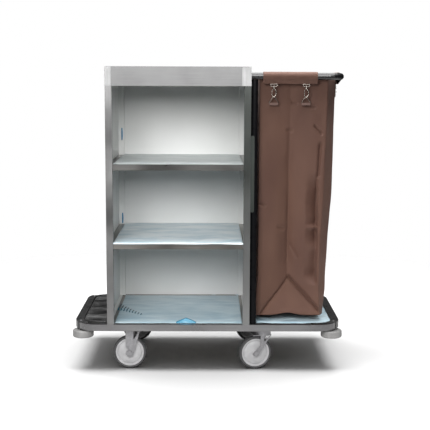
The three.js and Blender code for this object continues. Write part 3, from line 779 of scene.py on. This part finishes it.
def bag_outline(z):
    """Points round the bag at a height from the left front corner on, the same number at every height."""
    left, face_right, side = bag_edges(z)
    down = (BAG_TOP - z) / (BAG_TOP - BAG_FOOT)
    half = lerp(HALF_TOP, HALF_FOOT, down)
    cut = lerp(CUT_TOP, CUT_FOOT, down)
    corners = [(left, -half), (face_right, -half), (side, -half + cut),
               (side, half - cut), (face_right, half), (left, half)]
    points = []
    for i, count in enumerate(OUTLINE_STEPS):
        a, b = corners[i], corners[(i + 1) % len(corners)]
        for k in range(count):
            x, y = lerp(a[0], b[0], k / count), lerp(a[1], b[1], k / count)
            if i == FRONT_FACE:
                y += gusset(x, z, left, face_right) + slack_fold(x, z)
                y += sum(groove(x, z, *crease) for crease in FRONT_CREASES)
            elif i == REAR_FACE:
                y -= gusset(x, z, left, face_right)
            elif i == RIGHT_FACE:
                x += 0.006 * math.sin(math.pi * k / count) * smoothstep(0.25, 0.6, z)
            points.append((x, y))
    return points


def crumple(point, z):
    """A few millimetres of soft creasing, less near the hem where the rings hold it."""
    calm = smoothstep(BAG_TOP, 0.98, z)
    soft = noise.noise(Vector((point[0] * 9, point[1] * 9, z * 5)))
    fine = noise.noise(Vector((point[0] * 30 + 7, point[1] * 30, z * 14)))
    return (0.0035 * soft + 0.0014 * fine) * calm


def add_bag(mat):
    """The bag's shell with its closed foot, one ring of points for each height."""
    rings = []
    for j in range(BAG_ROWS + 1):
        z = lerp(BAG_FOOT, BAG_TOP, j / BAG_ROWS)
        outline = bag_outline(z)
        count = len(outline)
        ring = []
        for i, (x, y) in enumerate(outline):
            ahead, behind = outline[(i + 2) % count], outline[i - 2]
            out = Vector((ahead[1] - behind[1], behind[0] - ahead[0], 0)).normalized()
            ring.append(Vector((x, y, z)) + out * crumple((x, y), z))
        rings.append(ring)
    lift = foot_lift(rings[0])
    for j in range(FOOT_ROWS):
        fade = 1 - j / FOOT_ROWS
        for i, point in enumerate(rings[j]):
            point.z += lift[i] * fade
    verts = [point for ring in rings for point in ring]
    count = len(rings[0])
    faces = []
    for j in range(BAG_ROWS):
        low, high = j * count, (j + 1) * count
        faces += [(low + i, low + (i + 1) % count, high + (i + 1) % count, high + i) for i in range(count)]
    base_faces(rings[0], verts, faces)
    bag = add_mesh("bag_shell", verts, faces, mat)
    fix_normals(bag)
    solidify(bag, FABRIC, -1.0)
    attach(bag, "cart", ["laundry_bag"])


def foot_lift(ring):
    """The foot's edge rises a little at the middle of the front and back."""
    return [0.010 * bell(p.x, CREASE_X, 0.035) if abs(p.y) > 0.17 else 0.0 for p in ring]


def base_faces(ring, verts, faces):
    """Closes the foot with rings that shrink towards a sagging middle."""
    middle = sum(ring, Vector()) / len(ring)
    count = len(ring)
    below = list(range(count))
    for step in range(1, BASE_RINGS):
        share = step / BASE_RINGS
        start = len(verts)
        for point in ring:
            inner = point.lerp(middle, share)
            inner.z = lerp(point.z, BAG_FOOT - BASE_SAG, smoothstep(0, 0.5, share))
            verts.append(inner)
        here = list(range(start, start + count))
        faces += [(below[i], here[i], here[(i + 1) % count], below[(i + 1) % count]) for i in range(count)]
        below = here
    verts.append(Vector((middle.x, middle.y, BAG_FOOT - BASE_SAG)))
    last = len(verts) - 1
    faces += [(below[i], last, below[(i + 1) % count]) for i in range(count)]


# ---------- sleeves, hooks and rings ----------

SLEEVE_RADIUS = 0.0146  # inside of the cloth round the bar
SLEEVE_FOOT = -0.0270  # lower edge under the bar's centre
SLEEVE_CLOTH = 0.0016
SLEEVE_WRAP_STEPS, SLEEVE_FLAP_STEPS, SLEEVE_SLICES = 24, 6, 48
RIPPLE_SEEDS = {"front": 0.0, "rear": 3.0, "side": 6.0}
STITCH_PITCH = 0.005
STITCH = ((-0.0015, 0), (0, 0.0005), (0.0015, 0))  # (along, out of the cloth)


def station(place):
    """The bar's centre at a sleeve, the sleeve's half length, and the turn from X to the bar."""
    low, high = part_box(f"sleeve_{place}")
    centre = (low + high) / 2
    centre.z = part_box("bail_tube")[0].z + BAR_RADIUS
    half = (high.y - low.y if place == "side" else high.x - low.x) / 2
    return Matrix.Translation(centre) @ Matrix.Rotation(TURNS[place], 4, "Z"), half


def sleeve_section():
    """The cloth's section: over the bar, down to the stitched foot and back up."""
    section = []
    for k in range(SLEEVE_WRAP_STEPS + 1):
        angle = lerp(-0.30, math.pi + 0.30, k / SLEEVE_WRAP_STEPS)
        section.append((SLEEVE_RADIUS * math.cos(angle), SLEEVE_RADIUS * math.sin(angle)))
    down = range(1, SLEEVE_FLAP_STEPS + 1)
    for side, (y, z), steps in ((-1, section[-1], down), (1, section[0], reversed(down))):
        for k in steps:
            share = k / SLEEVE_FLAP_STEPS
            section.append((lerp(y, side * 0.0022, smoothstep(0, 1, share)), lerp(z, SLEEVE_FOOT, share)))
    return section


def add_sleeve(place, mat, thread_mat):
    """Fabric folded over the bar and stitched shut below it."""
    to_world, half = station(place)
    section = sleeve_section()
    seed = RIPPLE_SEEDS[place]
    verts, faces = [], []
    for i in range(SLEEVE_SLICES + 1):
        u = lerp(-half, half, i / SLEEVE_SLICES)
        for y, z in section:
            ripple = 0.0006 * noise.noise(Vector((u * 40, y * 60, z * 60 + seed)))
            slack = 0.0007 * math.sin(u * 60 + z * 90) * smoothstep(0.0, SLEEVE_FOOT, z)
            verts.append(to_world @ Vector((u, y + ripple + slack, z + ripple)))
    count = len(section)
    for i in range(SLEEVE_SLICES):
        for k in range(count):
            a, b = i * count + k, i * count + (k + 1) % count
            c, d = a + count, b + count
            faces.append((a, b, d, c))
    band = add_mesh(f"sleeve_band_{place}", verts, faces, mat)
    fix_normals(band)
    solidify(band, SLEEVE_CLOTH, 1.0)
    subdivide(band)
    attach(band, "cart", [f"sleeve_{place}"])
    add_stitches(f"sleeve_stitching_{place}", to_world, half, SLEEVE_FOOT + 0.006, thread_mat)


def add_stitches(name, to_world, half, z, mat):
    """A row of short stitches across the sleeve's front, just above its lower edge."""
    stitches = []
    count = int(2 * half / STITCH_PITCH)
    for i in range(count):
        u = lerp(-half + 0.003, half - 0.003, (i + 0.5) / count)
        path = [to_world @ Vector((u + du, -0.0062 - dy, z)) for du, dy in STITCH]
        stitches.append(wire("stitch", path, 0.00035, mat, sides=6))
    attach(joined(name, stitches), "cart")


# outlines of the hook, ring and tab, from the hook's top on its turning axis: (along the bar, towards
# the bag, up), with the barrel's as (radius, height) and the tab's as (along the bar, up)
HOOK_EYE = ((-0.013, 0, -0.0015), (0.013, 0, -0.0015), (0.0105, 0, -0.010), (-0.0105, 0, -0.010))
HOOK_BARREL = (
    (0.0002, 0.0), (0.0042, 0.0), (0.0042, 0.004), (0.003, 0.006),
    (0.0045, 0.008), (0.0045, 0.012), (0.0002, 0.013),
)
HOOK_BOW = (
    (0.0, 0, -0.019), (0.004, 0, -0.021), (0.0073, 0, -0.026), (0.0076, 0, -0.034), (0.0066, 0, -0.042),
    (0.0035, 0, -0.0475), (0, 0, -0.049), (-0.0035, 0, -0.0475), (-0.0066, 0, -0.042), (-0.0072, 0, -0.037),
)
HOOK_GATE = ((-0.0072, 0, -0.037), (-0.0076, 0, -0.030), (-0.0066, 0, -0.024), (-0.002, 0, -0.0195))
HOOK_STUD = ((-0.0076, 0, -0.030), (-0.0076, -0.004, -0.030), (-0.0076, -0.0048, -0.030))
RING_CORNERS = ((0, 0.0055, -0.0445), (0.0185, 0.010, -0.0715), (-0.0185, 0.010, -0.0715))
TAB_OUTLINE = ((-0.0165, -0.0790), (0.0165, -0.0790), (0.0165, -0.0690), (-0.0165, -0.0690))
TAB_NEAR, TAB_FAR = 0.0075, 0.0150
RING_BEND = 0.003
RING_WIRE, BOW_WIRE, GATE_WIRE, STUD_WIRE = 0.0014, 0.0019, 0.0013, 0.0016


def add_hook(place, number, metal, shaded_webbing):
    """Wide strap eye, swivel barrel, and a snap bow with its gate and thumb stud."""
    x, y, _ = joints[f"hook_turn_{place}_{number}"]["pos_m"]
    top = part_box(f"snap_hook_{place}_{number}")[1].z
    to_world = Matrix.Translation((x, y, top)) @ Matrix.Rotation(TURNS[place], 4, "Z")

    def put(points):
        return [to_world @ Vector(p) for p in points]

    eye = wire("eye", put(rounded(HOOK_EYE, RING_BEND, 4)), RING_WIRE, metal, closed=True)
    to_axis = to_world.to_3x3() @ Vector((0, 0, -1))
    barrel_profile = rounded(HOOK_BARREL, 0.0006, 2)
    barrel = turned("barrel", barrel_profile, to_world @ Vector((0, 0, -0.008)), to_axis, metal, 24)
    bow = wire("bow", put(HOOK_BOW), BOW_WIRE, metal)
    gate = wire("gate", put(HOOK_GATE), GATE_WIRE, metal)
    stud = wire("stud", put(HOOK_STUD), STUD_WIRE, metal)
    hook = joined(f"hook_{place}_{number}_detail", [eye, barrel, bow, gate, stud])
    attach(hook, f"hook_{place}_{number}", [f"snap_hook_{place}_{number}"])

    ring_loop = put(rounded(RING_CORNERS, RING_BEND, 4))
    ring = wire(f"ring_{place}_{number}", ring_loop, RING_WIRE, metal, closed=True)
    attach(ring, "cart")
    tab = prism(f"ring_tab_{place}_{number}", TAB_OUTLINE, TAB_NEAR, TAB_FAR, "y", shaded_webbing, 0.0008)
    tab.matrix_world = to_world
    attach(tab, "cart")


def add_hangers(fabric, metal, thread, shaded_webbing):
    for place in ("front", "rear", "side"):
        add_sleeve(place, fabric, thread)
        for number in (1, 2):
            add_hook(place, number, metal, shaded_webbing)


# ---------- protective film on the shelves and deck ----------

def add_film(name, low, high, top, mat, seed):
    """A wrinkled sheet of film about a millimetre over the steel, higher along its wrinkles."""
    across, along = 90, 60
    verts = []
    for j in range(along + 1):
        for i in range(across + 1):
            x, y = lerp(low[0], high[0], i / across), lerp(low[1], high[1], j / along)
            ridge = abs(noise.noise(Vector((x * 7 + seed, y * 15, seed))))
            ripple = noise.noise(Vector((x * 30, y * 42 + seed, 2.0)))
            loose = max(0, noise.noise(Vector((x * 3, y * 4, seed))))
            rise = 0.0011 + 0.0030 * max(0.0, 0.16 - ridge) / 0.16 * loose
            rise += 0.00035 * ripple
            edge = 0.0015 * noise.noise(Vector((x * 12, seed, 5.0))) if j == 0 else 0.0
            verts.append((x, y + edge, top + max(rise, FILM_GAP)))
    film = add_mesh(name, verts, grid_faces(across, along), mat)
    solidify(film, FILM)
    attach(film, "cart")


def add_films():
    """Film on both shelves and all three deck panels, with its lifted, gathered and doubled bits."""
    # the shelf and deck films' tints are partly the film's own blue and partly painted light, for the bright
    # back wall they reflect inside the dim bays
    deeper = thin_film("blue_film_on_deck", (0.54, 0.67, 0.73), (0.33, 0.49, 0.58), 0.95, 0.34)
    pale = thin_film("blue_film", (0.76, 0.84, 0.87), (0.44, 0.60, 0.68), 0.95, 0.34)
    greenish = thin_film("grey_green_film", (0.66, 0.70, 0.695), (0.50, 0.575, 0.575), 0.95, 0.36)
    strong = thin_film("blue_film_doubled", (0.03, 0.27, 0.52), (0.01, 0.18, 0.42), 0.9)
    ruffle = thin_film("blue_film_ruffled", (0.004, 0.09, 0.15), (0.02, 0.16, 0.24), 0.95)
    clear = thin_film("clear_film_on_mat", (0.012, 0.012, 0.012), (0.30, 0.30, 0.30), 0.30, 0.12)
    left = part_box("post_front_left")[1].x + 0.001
    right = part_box("post_front_right")[0].x - 0.001
    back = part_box("back_panel")[0].y - 0.001
    for number, (shelf, mat) in enumerate((("shelf_upper", greenish), ("shelf_lower", pale))):
        low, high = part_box(shelf)
        add_film(f"film_{shelf}", (left, low.y + 0.0015), (right, back), high.z, mat, number)
    low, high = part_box("shelf_lower")
    add_lap("film_lap_shelf_lower", low.y, left, right, high.z, pale, 1)
    deck_low, deck_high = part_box("deck_panel")
    front = deck_low.y + 0.001
    add_film("film_deck_cabinet", (left, front), (right, back), deck_high.z, deeper, 4.0)
    add_rounded_film("film_right_platform", *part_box("right_platform_panel"), 1, deeper)
    add_rounded_film("film_left_platform", *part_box("left_platform_mat"), -1, clear)
    lifted = thin_film("blue_film_lifted", (0.13, 0.36, 0.50), (0.03, 0.22, 0.38), 0.85)
    add_peel(lifted, ruffle, front, deck_high.z)
    add_ruffles(ruffle, deck_high.z)
    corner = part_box("side_panel_left")[1]
    for number, (z0, z1) in enumerate(((0.849, 0.900), (0.497, 0.541)), 1):
        add_film_edge(f"film_edge_back_{number}", corner.x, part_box("post_rear_left")[0].y, z0, z1, strong)


def add_lap(name, front, left, right, top, mat, seed):
    """The film's front margin, lapped over the lip with a wavy lower edge."""
    steps = 90
    verts = []
    for i in range(steps + 1):
        x = lerp(left, right, i / steps)
        drop = 0.0028 + 0.0016 * noise.noise(Vector((x * 14, seed * 3.7, 1.0)))
        verts += [(x, front + 0.0016, top + 0.0011), (x, front - 0.0005, top + 0.0007),
                  (x, front - 0.0007, top - 0.0015), (x, front - 0.0006, top - drop)]
    lap = add_mesh(name, verts, band_faces(steps, 4), mat, smooth=False)
    solidify(lap, FILM)
    attach(lap, "cart")


def add_rounded_film(name, low, high, side, mat):
    """Wrinkled film cut to an end panel, which has round corners at its outer end."""
    across, along = 60, 80
    radius, inset = 0.056, 0.003  # of the round corners, and in from the panel's edge
    verts = []
    near = low.x + 0.002 if side > 0 else high.x - 0.002
    far = high.x - inset if side > 0 else low.x + inset
    half = (high.y - low.y) / 2 - inset
    for j in range(along + 1):
        y = lerp(-half, half, j / along)
        over = max(abs(y) - (half - radius), 0.0)
        pulled = radius - math.sqrt(max(radius * radius - over * over, 0.0))
        reach = far - side * pulled
        for i in range(across + 1):
            x = lerp(near, reach, i / across)
            rise = 0.0010 + 0.0006 * noise.noise(Vector((x * 22, y * 30, side)))
            ridge = abs(noise.noise(Vector((x * 9 + 3, y * 13, side * 2.0))))
            rise += 0.0022 * max(0.0, 0.12 - ridge) / 0.12
            verts.append((x, y, high.z + max(rise, FILM_GAP)))
    film = add_mesh(name, verts, grid_faces(across, along), mat)
    solidify(film, FILM)
    attach(film, "cart")


def add_ruffles(mat, z):
    """A row of short gathers in the deck film that dies out away from the left side of the bay."""
    ruffles = []
    count = 9
    first, last = (-0.358, 0.020), (-0.262, -0.108)
    for i in range(count):
        t = i / (count - 1)
        x, y = lerp(first[0], last[0], t), lerp(first[1], last[1], t)
        length = lerp(0.100, 0.012, t ** 0.7)
        path = [(x + 0.004 * u, y - length / 2 + length * u, z + 0.0022 + 0.003 * math.sin(math.pi * u))
                for u in (0, 0.25, 0.5, 0.75, 1)]
        ruffles.append(wire("ruffle", path, lerp(0.0021, 0.0013, t), mat, sides=8))
    attach(joined("film_ruffles_deck", ruffles), "cart")


def add_film_edge(name, x, y, z0, z1, mat):
    """A loose strip of film standing a little off the back corner."""
    steps = 12
    verts, faces = [], []
    for i in range(steps + 1):
        z = lerp(z0, z1, i / steps)
        curl = 0.003 * math.sin(math.pi * i / steps)
        verts += [(x + 0.0005, y - 0.003 - curl, z), (x + 0.0045 + curl * 0.5, y - 0.0045 - curl, z)]
    for i in range(steps):
        a = i * 2
        faces.append((a, a + 1, a + 3, a + 2))
    edge = add_mesh(name, verts, faces, mat)
    solidify(edge, LOOSE_FILM)
    attach(edge, "cart")


def add_peel(mat, edge_mat, front, z):
    """A corner of film lifted and folded back at the middle of the deck's front edge."""
    centre, half, height = -0.081, 0.038, 0.017
    verts = []
    steps = 24
    for i in range(steps + 1):
        t = i / steps * 2 - 1
        rise = height * (1 - abs(t)) ** 0.8 + 0.0012
        x = centre + half * t
        middle = (x, front + 0.004, z + rise * 0.6 + 0.0008)
        verts += [(x, front, z + 0.0012), middle, (x, front + 0.011, z + rise)]
    peel = add_mesh("film_peel_deck", verts, band_faces(steps, 3), mat)
    solidify(peel, LOOSE_FILM)
    subdivide(peel)
    attach(peel, "cart")
    fold = [verts[i * 3 + 2] for i in range(steps + 1)]
    attach(wire("film_peel_fold", fold, 0.0019, edge_mat, sides=8), "cart")


# ---------- small fixings ----------

BOLT_X, BOLT_Y = 0.038, 0.025  # from the middle of a castor's plate to its bolts


def add_rivet(name, place, axis, radius, mat):
    """A low domed head."""
    profile = [(0.00005, 0.0)]
    profile += [(radius * math.cos(a), 0.45 * radius * math.sin(a)) for a in (0.0, 0.4, 0.8, 1.2)]
    profile += [(0.00005, 0.45 * radius)]
    attach(turned(name, profile, place, axis, mat, 24), "cart")


def add_fixings():
    """A rivet in the bumper strip at each corner, and four bolts under each castor's plate."""
    metal = zinc("fixing_zinc")
    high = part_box("base_frame")[1]
    strip_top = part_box("bumper_strip_right")[1].z
    centre_x, centre_y = high.x - CORNER_RADIUS, high.y - CORNER_RADIUS
    angle = math.radians(26)  # round the corner, from X
    middle = CORNER_RADIUS - 0.0125
    out_x, out_y = centre_x + middle * math.cos(angle), centre_y + middle * math.sin(angle)
    for corner in CORNERS:
        sign_x = 1 if "right" in corner else -1
        sign_y = -1 if "front" in corner else 1
        place = (sign_x * out_x, sign_y * out_y, strip_top)
        add_rivet(f"strip_rivet_{corner}", place, (0, 0, 1), 0.0045, metal)
    plate_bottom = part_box("castor_plate_front_right")[1].z - 0.003
    for corner in CORNERS:
        joint = joints[f"wheel_spin_{corner}" if "left" in corner else f"castor_swivel_{corner}"]
        x, y, _ = joint["pos_m"]
        for number, (side_x, side_y) in enumerate(((-1, -1), (1, -1), (-1, 1), (1, 1)), 1):
            place = (x + side_x * BOLT_X, y + side_y * BOLT_Y, plate_bottom)
            add_rivet(f"plate_bolt_{corner}_{number}", place, (0, 0, -1), 0.0065, metal)


def add_corner_covers():
    """Thin folded covers over both ends of the tray's front apron."""
    # the covers' lighter steel is partly their own finish and partly a painted highlight, for the light
    # caught where the apron's ends bend
    highlit_cover_steel = steel("highlit_cover_steel", (0.16,) * 3, (0.34,) * 3, 0.36, "z", 0.6, 12.0)
    low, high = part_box("top_tray")
    foot, head = high.z - 0.070, high.z - 0.0006
    outside, inside = low.y - 0.0005, low.y - 0.00005
    for side, start, end in (("left", low.x, low.x + 0.024), ("right", high.x - 0.034, high.x)):
        outline = [(start, foot), (end, foot), (end, head), (start, head)]
        cover = prism(f"corner_cover_{side}", outline, outside, inside, "y", highlit_cover_steel, 0.0002)
        attach(cover, "cart")


# ---------- the cart ----------

add_camera()
floor = add_floor()
key, fill = add_light()
dress_steelwork()
dress_black_parts()
dress_castor_metal()
add_running_gear()
brown = woven_fabric()
add_bag(brown)
brown_thread = moulded("brown_thread", (0.13, 0.07, 0.055), (0.17, 0.09, 0.07), 0.6)
# the tabs' dark brown is partly the webbing's own colour and partly painted shade
shaded_brown_webbing = moulded("shaded_brown_webbing", (0.070, 0.036, 0.028), (0.105, 0.056, 0.043), 0.75, 1400.0)
add_hangers(brown, nickel(), brown_thread, shaded_brown_webbing)
add_films()
add_fixings()
add_corner_covers()
soft_pieces = [obj for obj in bpy.data.objects if obj.name.startswith(("bag_shell", "sleeve_band"))]
keep_off(key, [floor])
keep_off(fill, [floor, *soft_pieces])
